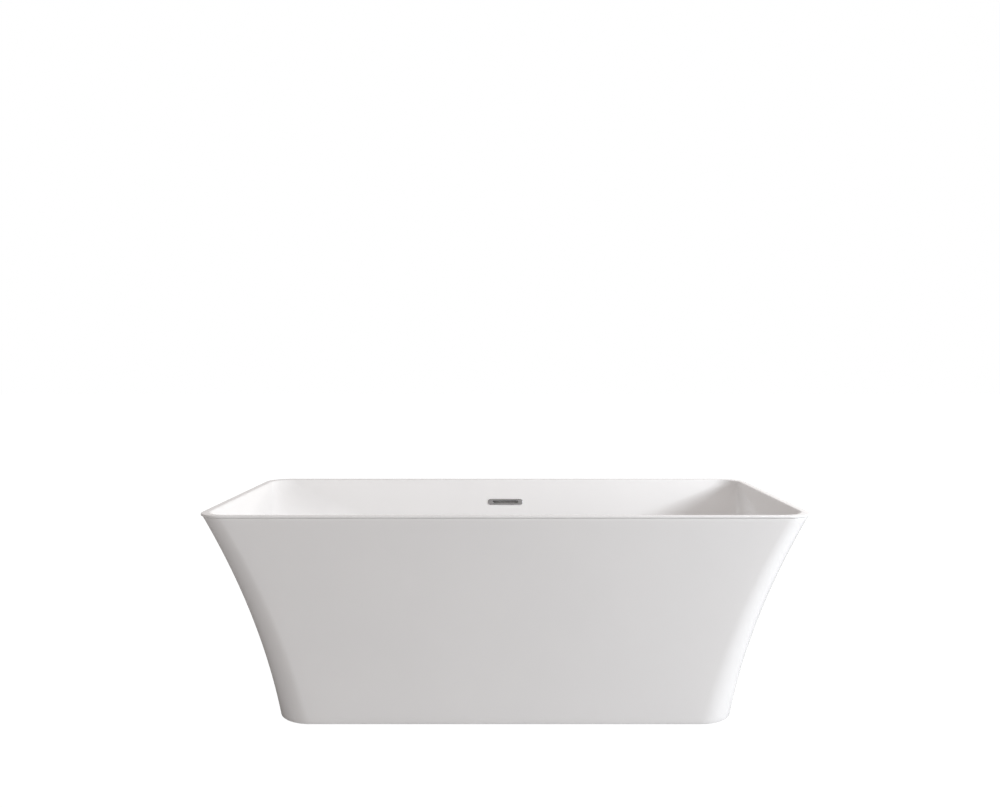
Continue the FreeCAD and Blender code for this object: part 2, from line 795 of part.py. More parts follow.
def plug_spring():
    """A wire coil between the cartridge's base and the stem."""
    wire = size("spring_wire")
    low = size("cartridge_foot") + size("cartridge_base") + wire
    height = size("stem_foot") - low - wire
    helix = Part.makeHelix(size("spring_pitch"), height, size("spring_radius"))
    start = Vector(size("spring_radius"), 0, 0)
    section = Part.Wire([Part.makeCircle(wire, start, Vector(0, 1, 0))])
    coil = doc.addObject("Part::Feature", "spring_coil")
    coil.Shape = Part.Wire(helix.Edges).makePipeShell([section], True, True)
    coil.Placement = Placement(Vector(0, 0, low), Rotation())
    return node(coil, "plug_spring")


# ---------------------------------------------------------------- overflow


def overflow_trim():
    body = new_body("trim_body")
    plate = plane_sketch(body, "trim_plate_outline", "XY_Plane")
    rounded_rectangle(plate, "trim_half_length", "trim_half_height", "trim_corner")
    pad(body, "trim_plate", plate, "trim_thick")
    collar = plane_sketch(body, "trim_collar_outline", "XY_Plane")
    rounded_rectangle(collar, "collar_half_length", "collar_half_height", "collar_corner")
    pad(body, "trim_collar", collar, "collar_depth", reverse=True)
    slot = plane_sketch(body, "trim_slot_outline", "XY_Plane", "trim_thick + overcut")
    rounded_rectangle(slot, "slot_half_length", "slot_half_height", "slot_half_height - 0.1")
    pocket(body, "trim_slot", slot, "trim_thick + collar_depth + 2 * overcut")
    body.Placement = overflow_place()
    return node(body, "overflow_trim")


def overflow_gasket():
    body = new_body("overflow_gasket_body")
    sketch = plane_sketch(body, "overflow_gasket_outline", "XY_Plane", "-basin_wall")
    rounded_rectangle(sketch, "trim_half_length - 3", "trim_half_height + 2", "trim_corner")
    rounded_rectangle(sketch, "collar_half_length + wall_slot_play", "collar_half_height + wall_slot_play",
                      "collar_corner + wall_slot_play")
    pad(body, "overflow_gasket_pad", sketch, "overflow_gasket_thick", reverse=True)
    body.Placement = overflow_place()
    return node(body, "overflow_gasket")


def box_section(body, name, down, half_length, half_depth, corner, middle):
    sketch = plane_sketch(body, name, "XZ_Plane", down)
    return rounded_rectangle(sketch, half_length, half_depth, corner, middle)


def overflow_box():
    """A flat box behind the wall that narrows to a round spigot."""
    body = new_body("box_body")
    middle = "-(basin_wall + overflow_gasket_thick + box_depth / 2)"
    spigot = "-spigot_offset"
    for kind, wall, ends in (("Additive", "0", "0"), ("Subtractive", "box_wall", "1")):
        flat = (f"box_half_length - {wall}", f"box_depth / 2 - {wall}", f"box_corner - {wall} / 2", middle)
        neck = f"spigot_radius - {wall}"
        round_end = (neck, neck, f"{neck} - 0.1", spigot)
        sections = [
            box_section(body, f"box_{kind}_top", f"-box_half_height + {wall}", *flat),
            box_section(body, f"box_{kind}_low", "box_half_height", *flat),
            box_section(body, f"box_{kind}_neck", "spigot_start", *round_end),
            box_section(body, f"box_{kind}_end", f"spigot_end + {ends}", *round_end),
        ]
        loft(body, kind, f"box_{kind}", sections, ruled=True)
    mouth = plane_sketch(body, "box_mouth_outline", "XY_Plane", "-basin_wall")
    rounded_rectangle(mouth, "collar_half_length + cartridge_play", "collar_half_height + cartridge_play",
                      "collar_corner")
    pocket(body, "box_mouth", mouth, "overflow_gasket_thick + box_wall + overcut")
    body.Placement = overflow_place()
    return node(body, "overflow_box")


def bent_path(corners, bends):
    """Straight runs through the corners, each corner rounded by an arc of its own radius."""
    edges = []
    start = corners[0]
    for before, corner, after, radius in zip(corners, corners[1:], corners[2:], bends):
        inward = (corner - before).normalize()
        onward = (after - corner).normalize()
        turn = inward.getAngle(onward)
        reach = radius * math.tan(turn / 2)
        begin = corner - inward * reach
        end = corner + onward * reach
        towards = (onward - inward).normalize()
        middle = corner + towards * (radius / math.cos(turn / 2) - radius)
        edges.append(Part.LineSegment(start, begin).toShape())
        edges.append(Part.Arc(begin, middle, end).toShape())
        start = end
    edges.append(Part.LineSegment(start, corners[-1]).toShape())
    return Part.Wire(edges)


def hose_corners():
    """The hose's route: off the spigot, down between the shells, then in under the frame to the tee."""
    wall = overflow_place()
    offset = -size("spigot_offset")
    first = wall.multVec(Vector(0, -size("hose_start"), offset))
    second = wall.multVec(Vector(0, -size("hose_start") - size("hose_lead"), offset))
    axis = size("tee_axis")
    third = Vector(0, size("hose_corner_place"), axis)
    last = Vector(0, size("port_reach") - size("hose_overlap"), axis)
    return [first, second, third, last]


def swept_ring(path, outer, inner):
    """A round tube along a path."""
    start = path.Edges[0].valueAt(path.Edges[0].FirstParameter)
    heading = path.Edges[0].tangentAt(path.Edges[0].FirstParameter)
    solids = [
        path.makePipeShell([Part.Wire([Part.makeCircle(radius, start, heading)])], True, True)
        for radius in (outer, inner)
    ]
    return solids[0].cut(solids[1])


def overflow_hose():
    path = bent_path(hose_corners(), [size("hose_small_bend"), size("hose_large_bend")])
    hose = doc.addObject("Part::Feature", "hose_tube")
    hose.Shape = swept_ring(path, size("hose_radius"), size("hose_bore"))
    hose.Placement = Placement()
    return node(hose, "overflow_hose")


def hose_clip(label, start, heading):
    """A band around one end of the hose."""
    inner = size("hose_radius") + size("clip_play")
    begin = start + heading * size("clip_inset")
    path = Part.Wire([Part.makeLine(begin, begin + heading * size("clip_width"))])
    clip = doc.addObject("Part::Feature", label + "_band")
    clip.Shape = swept_ring(path, inner + size("clip_thick"), inner)
    clip.Placement = Placement()
    return node(clip, label)


def hose_clips():
    corners = hose_corners()
    hose_clip("hose_clip_top", corners[0], (corners[1] - corners[0]).normalize())
    hose_clip("hose_clip_bottom", corners[3], (corners[2] - corners[3]).normalize())


# ---------------------------------------------------------------- the whole bath


basin_shell()
outer_skirt()
floor_board()
side_rail("side_rail_front", -1)
side_rail("side_rail_back", 1)
cross_tube("cross_tube_left", "-outer_cross")
cross_tube("cross_tube_middle_left", "-inner_cross")
cross_tube("cross_tube_middle_right", "inner_cross")
cross_tube("cross_tube_right", "outer_cross")
frame_screws()
skirt_brackets()
bracket_screws()
foot_nuts()
for number, (end, side) in enumerate(QUARTERS, start=1):
    foot_stud(number, f"{end} * foot_place", f"{side} * rail_offset")
    foot_pad(number, f"{end} * foot_place", f"{side} * rail_offset")
waste_flange()
waste_rings()
waste_tee()
click_plug()
plug_spring()
overflow_trim()
overflow_gasket()
overflow_box()
overflow_hose()
hose_clips()
doc.recompute()

failed = [thing.Name for thing in doc.Objects if "Invalid" in thing.State or "Error" in thing.State]
if failed:
    raise RuntimeError("objects that failed: " + ", ".join(failed))
for piece in nodes:
    if piece.Shape.isNull() or not piece.Shape.isValid() or not piece.Shape.Solids:
        raise RuntimeError("no valid solid in " + piece.Label)

os.makedirs("parts", exist_ok=True)
for piece in nodes:
    piece.Shape.exportStep(os.path.join("parts", piece.Label + ".step"))
    reach = piece.Shape.BoundBox
    print(f"{piece.Label}: {len(piece.Shape.Solids)} solids, {piece.Shape.Volume / 1000:.1f} cm3, "
          f"z {reach.ZMin:.1f} to {reach.ZMax:.1f}")
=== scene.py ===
"""Looks of the freestanding bath: its shells, fittings and base frame, on a pale studio floor.

Metres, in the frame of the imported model: origin on the floor under the middle of the bath, +X along
its length, +Y towards the long wall with the overflow, +Z up.
"""

import math

import bpy
from mathutils import Matrix, Vector


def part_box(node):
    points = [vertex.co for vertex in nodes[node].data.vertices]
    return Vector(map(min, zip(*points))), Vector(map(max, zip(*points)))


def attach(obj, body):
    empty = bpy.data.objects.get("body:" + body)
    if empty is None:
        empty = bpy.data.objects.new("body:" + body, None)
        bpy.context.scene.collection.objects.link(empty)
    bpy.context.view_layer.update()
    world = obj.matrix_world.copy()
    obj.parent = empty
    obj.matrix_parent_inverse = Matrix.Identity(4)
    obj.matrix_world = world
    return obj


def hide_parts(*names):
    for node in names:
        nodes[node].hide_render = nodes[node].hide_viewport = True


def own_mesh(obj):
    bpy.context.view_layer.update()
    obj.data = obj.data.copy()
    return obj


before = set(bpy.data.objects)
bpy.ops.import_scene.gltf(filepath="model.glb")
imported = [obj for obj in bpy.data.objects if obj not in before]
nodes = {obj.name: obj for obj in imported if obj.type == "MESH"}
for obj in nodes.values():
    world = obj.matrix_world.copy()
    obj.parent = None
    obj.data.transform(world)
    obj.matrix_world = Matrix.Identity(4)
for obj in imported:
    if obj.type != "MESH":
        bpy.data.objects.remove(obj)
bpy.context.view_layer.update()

MM = 0.001


# ---------------------------------------------------------------- sizes

shell_low, shell_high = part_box("basin_shell")
skirt_low, skirt_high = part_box("outer_skirt")

RIM_LENGTH = shell_high.x
RIM_WIDTH = shell_high.y
RIM_LEVEL = shell_high.z
RIM_CORNER = 75 * MM  # in plan, at the outer edge
RIM_THICK = RIM_LEVEL - skirt_high.z
RIM_EDGE = 2.5 * MM
RIM_INNER_EDGE = 4 * MM

FOOT_LENGTH = 645 * MM
FOOT_WIDTH = 349.5 * MM
FOOT_CORNER = 104 * MM
FOOT_LEVEL = skirt_low.z
FLARE_LINE = 0.51  # the straight part's share of the skirt's flare
SKIRT_WALL = 5 * MM
FOOT_RETURN = 32 * MM
SEAM_HIGH = 1.6 * MM
SEAM_DEEP = 2.4 * MM

LEDGE = 20 * MM
BASIN_CORNER = 70 * MM
BOWL_CORNER = 272 * MM
BOWL_CORNER_DEPTH = 140 * MM
BASIN_WALL = 6 * MM
FLOOR_THICK = 8 * MM
BASIN_FLOOR = shell_low.z + FLOOR_THICK
BASIN_DEPTH = RIM_LEVEL - BASIN_FLOOR
FLOOR_ROUND = 46 * MM
WASTE_HOLE = 26 * MM
# how the basin's ends and sides lean inwards and curve with depth
END_SLOPE, END_CURVE = 0.50, 0.21
SIDE_SLOPE, SIDE_CURVE = 0.29, 0.14

OVERFLOW_DROP = 78 * MM  # from the rim down to the overflow's middle
HOSE_FROM_TRIM = (-108 * MM, -23 * MM)  # the hose's top, down the wall and out of it from there
HOSE_AXIS = 18.5 * MM  # the level run's axis above the hose's lowest point
HOSE_CORNER = 314.5 * MM
HOSE_END = 40 * MM
HOSE_RADIUS, HOSE_GROOVE, HOSE_BORE = 12.5 * MM, 11.2 * MM, 10.6 * MM

# M12 feet, in millimetres
STUD_RADIUS, STUD_PITCH = 6, 1.75
FOOT_NUT_ACROSS = 19
RAIL_Y = 190
SCREW_Y = 110
FRAME_SCREW_REACH, RAIL_SCREW_REACH, BLOCK_SCREW_REACH = 42, 11, 21

FEET = range(1, 5)
CROSS_TUBES = ("cross_tube_left", "cross_tube_middle_left", "cross_tube_middle_right", "cross_tube_right")


# ---------------------------------------------------------------- studio light

# each side's axis, its way and its strength
SKY_SIDES = (("X", 1, 1.05), ("Y", -1, 1.04), ("Y", 1, 0.95))
# what comes from everywhere, a little warm
SKY_BASE = (0.042, 0.011, 0.001)
# name, place, where it points, width and height, power, colour
SOFT_BOXES = (
    ("key_side", (2.96, -1.20, 1.56), (0, 0, 0.4), 0.6, 0.6, 62, (0.91, 0.95, 1)),
    ("key_high", (1.65, -0.41, 3.34), (0, 0, 0.4), 0.5, 0.5, 10, (1, 1, 1)),
)
PAPER_TONE = 0.50
FLOOR_GLOW, FLOOR_SHARE = 1.14, 0.88  # how bright the camera sees the floor, and how much of that is glow

# ---------------------------------------------------------------- camera

LENS = 31.2
SHIFT_X, SHIFT_Y = -0.0054, -0.0352
CAMERA_AWAY, CAMERA_UP = 2.3564, 0.4002  # from the rim's front edge


# ---------------------------------------------------------------- meshes


def rounded_ring(half_x, half_y, corner, level, arc=20, along=28, across=12):
    """Points round a rounded rectangle at a level, always the same number in the same order."""
    points = []
    sides = (across, along, across, along)
    for turn, (right, up) in enumerate(((1, 1), (-1, 1), (-1, -1), (1, -1))):
        middle = Vector((right * (half_x - corner), up * (half_y - corner), level))
        for step in range(arc + 1):
            angle = (turn + step / arc) * math.pi / 2
            points.append(middle + corner * Vector((math.cos(angle), math.sin(angle), 0)))
        right, up = ((-1, 1), (-1, -1), (1, -1), (1, 1))[turn]
        onward = Vector((right * (half_x - corner), up * (half_y - corner), level))
        angle = (turn + 1) * math.pi / 2
        onward += corner * Vector((math.cos(angle), math.sin(angle), 0))
        last = points[-1]
        steps = sides[(turn + 1) % 4]
        points.extend(last.lerp(onward, step / steps) for step in range(1, steps))
    return points


def ring_faces(rings, closed):
    """Quads between neighbouring rings of equal length."""
    count = len(rings[0])
    faces = []
    for row in range(len(rings) if closed else len(rings) - 1):
        here, above = row * count, (row + 1) % len(rings) * count
        for k in range(count):
            after = (k + 1) % count
            faces.append((here + k, here + after, above + after, above + k))
    return faces


def new_piece(name, points, faces, sharp=40):
    """A mesh object with smooth shading, apart from edges sharper than an angle in degrees."""
    mesh = bpy.data.meshes.new(name)
    mesh.from_pydata([tuple(p) for p in points], [], faces)
    mesh.validate()
    mesh.shade_smooth()
    mesh.set_sharp_from_angle(angle=math.radians(sharp))
    piece = bpy.data.objects.new(name, mesh)
    bpy.context.scene.collection.objects.link(piece)
    return piece


def lofted(name, rings, sharp=40):
    """A piece from rings that go all the way round its section."""
    return new_piece(name, [p for ring in rings for p in ring], ring_faces(rings, True), sharp)


def quarter_turn(radius, steps=5):
    """(inset, rise) along a quarter round that starts level and ends upright."""
    for step in range(steps + 1):
        angle = step / steps * math.pi / 2
        yield radius * (1 - math.sin(angle)), radius * (1 - math.cos(angle))


def finish_piece(piece, material, slot, body, *replaced):
    """Gives a piece its material, its body and the CAD nodes it stands for; its slot is not used."""
    piece.data.materials.clear()
    piece.data.materials.append(material)
    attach(piece, body)
    if replaced:
        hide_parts(*replaced)


def lined(piece, hidden):
    """Glass fibre on the faces that the finished bath hides, by their level, tilt and way outwards."""
    piece.data.materials.append(GLASS_FIBRE)
    for face in piece.data.polygons:
        place, normal = face.center, face.normal
        if hidden(place.z, normal.z, place.x * normal.x + place.y * normal.y):
            face.material_index = 1


def applied(piece):
    """The piece with its modifiers worked into its mesh."""
    view = bpy.context.evaluated_depsgraph_get()
    mesh = bpy.data.meshes.new_from_object(piece.evaluated_get(view))
    piece.modifiers.clear()
    piece.data = mesh


# ---------------------------------------------------------------- materials


class Nodes:
    """A short way to write a material's nodes."""

    def __init__(self, name):
        self.material = bpy.data.materials.new(name)
        self.material.use_nodes = True
        self.tree = self.material.node_tree
        self.shader = self.tree.nodes["Principled BSDF"]
        self.place = self.add("ShaderNodeTexCoord").outputs["Object"]

    def add(self, kind, links=None, **settings):
        node = self.tree.nodes.new(kind)
        for name, value in settings.items():
            if hasattr(node, name):
                setattr(node, name, value)
            else:
                node.inputs[name.replace("_", " ").capitalize()].default_value = value
        for name, output in (links or {}).items():
            self.tree.links.new(output, node.inputs[name])
        return node

    def link(self, output, socket):
        self.tree.links.new(output, self.shader.inputs[socket])

    def stretched(self, scale):
        mapping = self.add("ShaderNodeMapping", {"Vector": self.place})
        mapping.inputs["Scale"].default_value = scale
        return mapping.outputs["Vector"]

    def noise(self, scale, detail=3.0, stretch=None):
        place = self.stretched(stretch) if stretch else self.place
        node = self.add("ShaderNodeTexNoise", {"Vector": place})
        node.inputs["Scale"].default_value = scale
        node.inputs["Detail"].default_value = detail
        return node.outputs["Fac"]

    def ranged(self, value, low, high, start=0.35, end=0.65):
        node = self.add("ShaderNodeMapRange", {"Value": value})
        for name, amount in (("From Min", start), ("From Max", end), ("To Min", low), ("To Max", high)):
            node.inputs[name].default_value = amount
        return node.outputs["Result"]

    def blended(self, value, first, second):
        node = self.add("ShaderNodeMix", data_type="RGBA")
        self.tree.links.new(value, node.inputs[0])
        node.inputs[6].default_value = (*first, 1)
        node.inputs[7].default_value = (*second, 1)
        return node.outputs[2]

    def bump(self, height, depth):
        node = self.add("ShaderNodeBump", {"Height": height})
        node.inputs["Distance"].default_value = depth
        node.inputs["Strength"].default_value = 1.0
        self.link(node.outputs["Normal"], "Normal")


def made(name, colour, second, roughness, spread, grain, depth, patch=6.0, metallic=0.0, stretch=None):
    """A surface whose colour drifts between two tones, with its own roughness and fine relief."""
    nodes_of = Nodes(name)
    nodes_of.link(nodes_of.blended(nodes_of.ranged(nodes_of.noise(patch), 0, 1), colour, second), "Base Color")
    rough = nodes_of.ranged(nodes_of.noise(patch * 5, stretch=stretch), roughness - spread, roughness + spread)
    nodes_of.link(rough, "Roughness")
    nodes_of.bump(nodes_of.noise(grain, stretch=stretch), depth)
    nodes_of.shader.inputs["Metallic"].default_value = metallic
    return nodes_of


def acrylic():
    """Cast acrylic: clear gloss over white, with the faint waviness of a vacuum formed sheet."""
    sheet = made("white_acrylic", (0.885, 0.882, 0.875), (0.87, 0.868, 0.862), 0.13, 0.03, 28, 0.00006, patch=3)
    sheet.shader.inputs["IOR"].default_value = 1.49
    sheet.shader.inputs["Coat Weight"].default_value = 0.35
    sheet.shader.inputs["Coat Roughness"].default_value = 0.05
    return sheet.material


def resin(name, tone, second):
    """Chopped strands in resin, as laid up by hand on a shell's hidden side."""
    return made(name, tone, second, 0.45, 0.1, 260, 0.0005, patch=45).material


def plated(name, tone, roughness):
    """Polished plating with faint wiping marks."""
    darker = tuple(0.93 * part for part in tone)
    return made(name, tone, darker, roughness, 0.03, 700, 0.000004, patch=40, metallic=1.0).material


def machined(name, tone, roughness):
    """Turned or drawn metal, with its fine marks along one way."""
    darker = tuple(0.82 * part for part in tone)
    return made(name, tone, darker, roughness, 0.08, 250, 0.00002, 60, 1.0, (1, 1, 30)).material


def moulded(name, tone, roughness, grain=900):
    """Moulded plastic or rubber with its fine grain."""
    darker = tuple(0.88 * part for part in tone)
    return made(name, tone, darker, roughness, 0.06, grain, 0.00003, patch=25).material


def coated(name, tone):
    """Powder coat with its orange peel."""
    darker = tuple(0.9 * part for part in tone)
    return made(name, tone, darker, 0.42, 0.07, 550, 0.00006, patch=12).material


def timber(name, light, dark, along=(1, 9, 9)):
    """Sawn softwood or board with its grain along x."""
    wood = Nodes(name)
    rings = wood.add("ShaderNodeTexWave", {"Vector": wood.stretched(along)})
    for setting, amount in (("Scale", 3.0), ("Distortion", 6.0), ("Detail", 3.0), ("Detail Scale", 1.5)):
        rings.inputs[setting].default_value = amount
    wood.link(wood.blended(rings.outputs["Fac"], light, dark), "Base Color")
    wood.link(wood.ranged(wood.noise(60, stretch=along), 0.6, 0.8), "Roughness")
    wood.bump(wood.noise(220, stretch=along), 0.0002)
    return wood.material


WHITE_ACRYLIC = acrylic()
GLASS_FIBRE = resin("glass_fibre", (0.66, 0.63, 0.54), (0.52, 0.49, 0.41))
CHROME = plated("chrome_plate", (0.80, 0.81, 0.82), 0.07)
DARK_CHROME = plated("dark_chrome_plate", (0.34, 0.34, 0.345), 0.22)
ZINC = machined("zinc_plate", (0.62, 0.62, 0.58), 0.3)
BRASS = machined("machined_brass", (0.78, 0.60, 0.30), 0.25)
SPRING_STEEL = machined("spring_steel", (0.60, 0.61, 0.63), 0.25)
FRAME_STEEL = coated("powder_coat", (0.16, 0.17, 0.18))
RUBBER = moulded("black_rubber", (0.022, 0.022, 0.022), 0.62, 400)
BLACK_PLASTIC = moulded("black_plastic", (0.03, 0.03, 0.031), 0.45)
GREY_PLASTIC = moulded("grey_plastic", (0.42, 0.43, 0.44), 0.42)
WHITE_PLASTIC = moulded("white_plastic", (0.82, 0.82, 0.81), 0.4)
HOSE_PLASTIC = moulded("hose_plastic", (0.60, 0.61, 0.62), 0.36)
BOARD = timber("fibre_board", (0.50, 0.36, 0.22), (0.42, 0.29, 0.17), (4, 6, 6))
TIMBER = timber("softwood", (0.60, 0.43, 0.25), (0.48, 0.31, 0.16))


# ---------------------------------------------------------------- shells


def flare(low, high, level):
    """A half size of the skirt at a level: a straight and a square part of the flare added."""
    part = level / RIM_LEVEL
    return low + (high - low) * (FLARE_LINE * part + (1 - FLARE_LINE) * part ** 2)


def skirt_ring(level, inset):
    """The skirt's outline at a level, drawn in by an inset."""
    corner = FOOT_CORNER + (RIM_CORNER - FOOT_CORNER) * level / RIM_LEVEL - inset
    half_x = flare(FOOT_LENGTH, RIM_LENGTH, level) - inset
    half_y = flare(FOOT_WIDTH, RIM_WIDTH, level) - inset
    return rounded_ring(half_x, half_y, corner, level)


def skirt():
    """The outer shell: its face, the shadow groove under the rim, its inside and its turned-in foot."""
    edge = 1.5 * MM
    top = skirt_high.z
    seam = top - SEAM_HIGH
    rings = [skirt_ring(FOOT_LEVEL + rise, inset) for inset, rise in quarter_turn(edge, 3)]
    steps = 56
    first = FOOT_LEVEL + edge
    rings += [skirt_ring(first + (seam - edge - first) * k / steps, 0) for k in range(1, steps + 1)]
    rings += [skirt_ring(seam - rise, inset) for inset, rise in reversed(list(quarter_turn(edge, 3)))][1:]
    rings += [skirt_ring(seam, SEAM_DEEP), skirt_ring(top, SEAM_DEEP), skirt_ring(top, SKIRT_WALL)]
    ledge = FOOT_LEVEL + SKIRT_WALL
    steps = 24
    rings += [skirt_ring(top + (ledge - top) * k / steps, SKIRT_WALL) for k in range(1, steps + 1)]
    rings += [skirt_ring(ledge, FOOT_RETURN), skirt_ring(FOOT_LEVEL, FOOT_RETURN)]
    piece = lofted("outer_skirt_shell", rings)
    finish_piece(piece, WHITE_ACRYLIC, "acrylic", "tub", "outer_skirt")
    lined(piece, lambda level, tilt, outwards: outwards < 0 or level < 2 * ledge and tilt > 0.5)


def basin_outline(depth, outward):
    """Half sizes and corner radius of the basin at a depth below the rim."""
    step = min(1, depth / BOWL_CORNER_DEPTH)
    corner = BASIN_CORNER + (BOWL_CORNER - BASIN_CORNER) * step ** 2 * (3 - 2 * step) + outward
    half_x = RIM_LENGTH - LEDGE - END_SLOPE * depth - END_CURVE * depth ** 2 + outward
    half_y = RIM_WIDTH - LEDGE - SIDE_SLOPE * depth + SIDE_CURVE * depth ** 2 + outward
    return half_x, half_y, corner


def basin_ring(depth, outward):
    """The basin's outline at a depth below the rim, moved outwards."""
    return rounded_ring(*basin_outline(depth, outward), RIM_LEVEL - depth)


def towards_circle(ring, radius, share):
    """The ring drawn in towards a circle about the waste: share 0 is the ring, 1 the circle."""
    moved = []
    for point in ring:
        flat = Vector((point.x, point.y, 0))
        target = flat.normalized() * radius + Vector((0, 0, point.z))
        moved.append(point.lerp(target, share))
    return moved


def basin():
    """The inner shell: floor, rounded walls, flat rim with its lip, and the shell's hidden outside."""
    shares = (1, 0.985, 0.96, 0.9, 0.8, 0.65, 0.5, 0.35, 0.2, 0.1)
    floor = basin_ring(BASIN_DEPTH, -FLOOR_ROUND)
    rings = [towards_circle(floor, WASTE_HOLE, share) for share in shares]
    rings += [basin_ring(BASIN_DEPTH - rise, -inset) for inset, rise in quarter_turn(FLOOR_ROUND, 12)]
    start = BASIN_DEPTH - FLOOR_ROUND
    steps = 64
    rings += [basin_ring(start + (RIM_INNER_EDGE - start) * k / steps, 0) for k in range(1, steps + 1)]
    for inset, rise in list(quarter_turn(RIM_INNER_EDGE, 6))[::-1][1:]:
        rings.append(basin_ring(rise, inset))
    for inset, drop in quarter_turn(RIM_EDGE, 5):
        rings.append(rounded_ring(RIM_LENGTH - inset, RIM_WIDTH - inset, RIM_CORNER - inset, RIM_LEVEL - drop))
    lip = RIM_LEVEL - RIM_THICK
    for inset, rise in reversed(list(quarter_turn(0.8 * MM, 3))):
        rings.append(rounded_ring(RIM_LENGTH - inset, RIM_WIDTH - inset, RIM_CORNER - inset, lip + rise))
    under = BASIN_DEPTH + FLOOR_THICK
    outer_round = FLOOR_ROUND + BASIN_WALL
    steps = 30
    end = under - outer_round
    rings += [basin_ring(RIM_THICK + (end - RIM_THICK) * k / steps, BASIN_WALL) for k in range(steps + 1)]
    for inset, rise in list(quarter_turn(outer_round, 8))[::-1][1:]:
        rings.append(basin_ring(under - rise, BASIN_WALL - inset))
    floor = rings[-1]
    rings += [towards_circle(floor, WASTE_HOLE, share) for share in (0.4, 0.8, 1)]
    piece = lofted("basin_shell_form", rings)
    cutter = slot_cutter()
    hole = piece.modifiers.new("overflow_hole", "BOOLEAN")
    hole.object = cutter
    hole.solver = "EXACT"
    applied(piece)
    bpy.data.objects.remove(cutter)
    piece.data.shade_smooth()
    piece.data.set_sharp_from_angle(angle=math.radians(40))
    finish_piece(piece, WHITE_ACRYLIC, "acrylic", "tub", "basin_shell")
    below = RIM_LEVEL - 1.5 * RIM_THICK
    lined(piece, lambda level, tilt, outwards: level < below and (outwards > 0.01 or tilt < -0.5))


# ---------------------------------------------------------------- overflow


def overflow_place():
    """The middle of the overflow on the basin's inner face: local Z into the basin, local Y up the wall."""
    across = basin_outline(OVERFLOW_DROP, 0)[1]
    lean = math.atan(SIDE_SLOPE - 2 * SIDE_CURVE * OVERFLOW_DROP)
    turn = Matrix.Rotation(math.pi / 2 - lean, 4, "X")
    return Matrix.Translation((0, across, RIM_LEVEL - OVERFLOW_DROP)) @ turn


def slot_ring(half_length, half_height, corner, level):
    """A rounded slot's outline in the overflow's own axes, in millimetres."""
    return rounded_ring(half_length * MM, half_height * MM, corner * MM, level * MM, arc=12, along=8, across=2)


def slot_cutter():
    """What the slot's hole in the basin is cut with."""
    rings = [slot_ring(55, 8, 7, level) for level in (-14, 9)]
    count = len(rings[0])
    points = [p for ring in rings for p in ring]
    faces = ring_faces(rings, False) + [tuple(range(count))[::-1], tuple(range(count, 2 * count))]
    cutter = new_piece("slot_cutter", points, faces)
    cutter.data.transform(overflow_place())
    cutter.data.update()
    return cutter


def overflow_trim():
    """A long rounded plate with a soft outer edge, its slot, and the collar that goes through the wall."""
    slot, plate, collar = (45, 4, 3.9), (62, 10, 8), (54, 7, 6)
    edge = 1.1
    rings = [slot_ring(*slot, -9), slot_ring(*slot, -4), slot_ring(*slot, 0), slot_ring(*slot, 2.2)]
    for step in range(1, 5):
        angle = step / 4 * math.pi / 2
        grow = 0.8 * (1 - math.cos(angle))
        rings.append(slot_ring(slot[0] + grow, slot[1] + grow, slot[2] + grow, 2.2 + 0.8 * math.sin(angle)))
    for step in range(6):
        angle = step / 5 * math.pi / 2
        inset = edge * (1 - math.sin(angle))
        rings.append(slot_ring(*(part - inset for part in plate), 3 - edge * (1 - math.cos(angle))))
    rings += [slot_ring(*plate, 0), slot_ring(*collar, 0), slot_ring(*collar, -9)]
    piece = lofted("overflow_trim_plate", rings)
    piece.data.transform(overflow_place())
    piece.data.update()
    finish_piece(piece, DARK_CHROME, "dark_chrome", "tub", "overflow_trim")


# ---------------------------------------------------------------- turned and threaded parts

# Each of these gives (points, faces) in millimetres, so that several can be joined into one piece.


def turned(outline, segments=72):
    """A turned solid from its closed outline of (radius, height) pairs."""
    angles = [2 * math.pi * k / segments for k in range(segments)]
    rings = [
        [Vector((max(radius, 0.001) * math.cos(a), max(radius, 0.001) * math.sin(a), level)) for a in angles]
        for radius, level in outline
    ]
    return [p for ring in rings for p in ring], ring_faces(rings, True)


def softened(outline, radius, steps=3):
    """A closed outline with every corner off the axis rounded."""
    soft = []
    for k, corner in enumerate(outline):
        before, after = Vector(outline[k - 1]), Vector(outline[(k + 1) % len(outline)])
        here = Vector(corner)
        inward, onward = (before - here), (after - here)
        if corner[0] <= 0.001 or abs(inward.angle(onward) - math.pi) < 0.02:
            soft.append(corner)
            continue
        half = inward.angle(onward) / 2
        reach = min(radius / math.tan(half), 0.45 * inward.length, 0.45 * onward.length)
        start, end = here + inward.normalized() * reach, here + onward.normalized() * reach
        for step in range(steps + 1):
            share = step / steps
            low, high = start.lerp(here, share), here.lerp(end, share)
            soft.append(tuple(low.lerp(high, share)))
    return soft


def hexagon_radius(across, angle):
    """How far a hexagon's side is from its middle in a direction."""
    sixth = math.pi / 3
    return across / 2 / math.cos((angle + sixth / 2) % sixth - sixth / 2)


def nut(across, low, high, bore, segments=72):
    """A hexagon with both ends turned to a cone, and a bore with chamfered mouths."""
    angles = [2 * math.pi * k / segments for k in range(segments)]
    flat = across / 2 * 0.95
    slope = math.tan(math.radians(30))
    mouth = min(0.6, (high - low) / 8)

    def ring(radius, level):
        return [Vector((radius * math.cos(a), radius * math.sin(a), level)) for a in angles]

    def edge(level, way):
        reaches = [hexagon_radius(across, a) for a in angles]
        return [
            Vector((reach * math.cos(a), reach * math.sin(a), level + way * (reach - flat) * slope))
            for a, reach in zip(angles, reaches)
        ]

    rings = [
        ring(bore, low + mouth), ring(bore + mouth, low), ring(flat, low), edge(low, 1),
        edge(high, -1), ring(flat, high), ring(bore + mouth, high), ring(bore, high - mouth),
    ]
    return [p for row in rings for p in row], ring_faces(rings, True)


